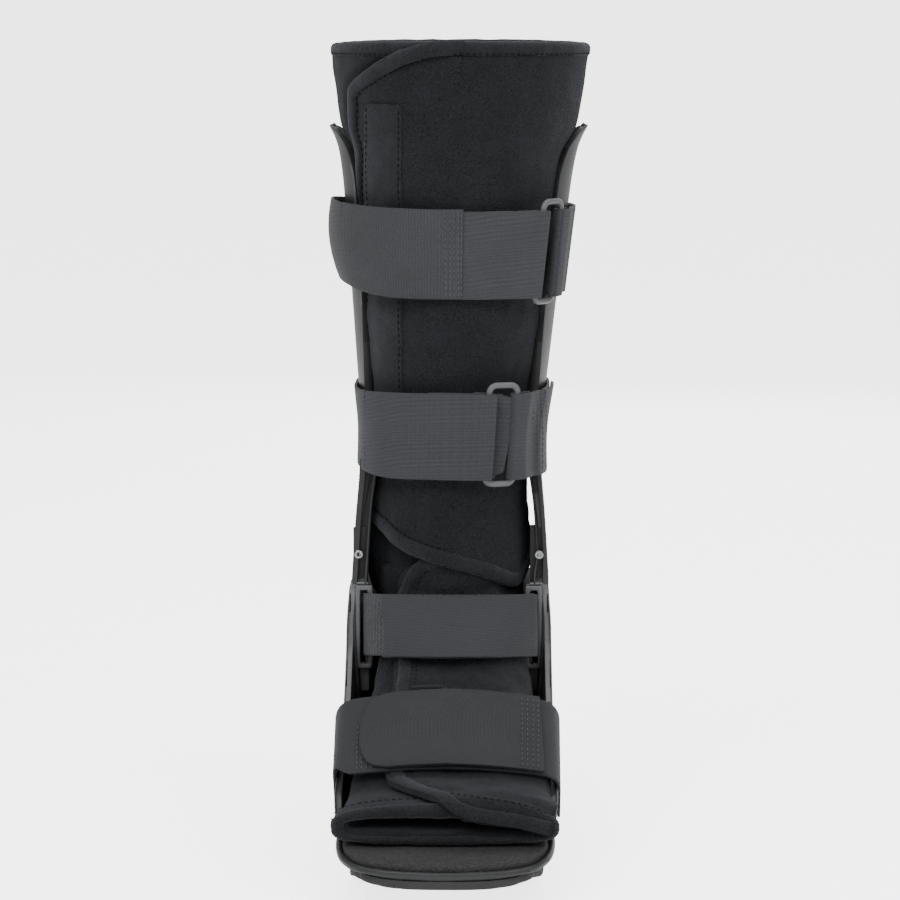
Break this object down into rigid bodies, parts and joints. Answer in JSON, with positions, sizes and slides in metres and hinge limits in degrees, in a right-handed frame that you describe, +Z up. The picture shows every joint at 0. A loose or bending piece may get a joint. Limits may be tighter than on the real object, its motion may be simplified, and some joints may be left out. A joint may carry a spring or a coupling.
{
  "type": "medical walking boot",
  "caption": "Tall rigid walking boot with padded liner, side uprights, rocker sole and hook-and-loop straps over calf, ankle and forefoot.",
  "frame": {"origin": "centre of the flat area under the sole that the boot rests on", "axes": "+Z up the leg, -Y towards the toe, +X to the side of the strap rings"},
  "size_m": [0.146, 0.284, 0.446],
  "materials": {
    "shell_plastic": "satin moulded dark grey plastic",
    "sole_rubber": "matte dark rubber",
    "insole_foam": "speckled crumb foam",
    "liner_fleece": "brushed loop fleece over padding, near black navy",
    "liner_binding": "bound edge of the same fabric with a stitch line",
    "webbing": "charcoal webbing with woven ribs and hook pile",
    "ring_plastic": "grey moulded ring",
    "screw_steel": "bright steel"
  },
  "bodies": {
    "root": {"outsole": "sole_rubber", "foot_shell": "shell_plastic", "insole": "insole_foam", "upright_left": "shell_plastic", "upright_right": "shell_plastic", "screw_left": "screw_steel", "screw_right": "screw_steel", "liner_leg": "liner_fleece", "leg_flap": "liner_fleece", "liner_foot": "liner_fleece", "foot_flap": "liner_fleece", "rim_binding": "liner_binding", "closure_strip": "liner_binding", "calf_strap_upper": "webbing", "anchor_upper": "webbing", "ring_upper": "ring_plastic", "calf_strap_lower": "webbing", "anchor_lower": "webbing", "ring_lower": "ring_plastic", "ankle_loop": "webbing", "ankle_strap": "webbing", "forefoot_tab": "webbing", "forefoot_strap": "webbing"}
  },
  "joints": []
}
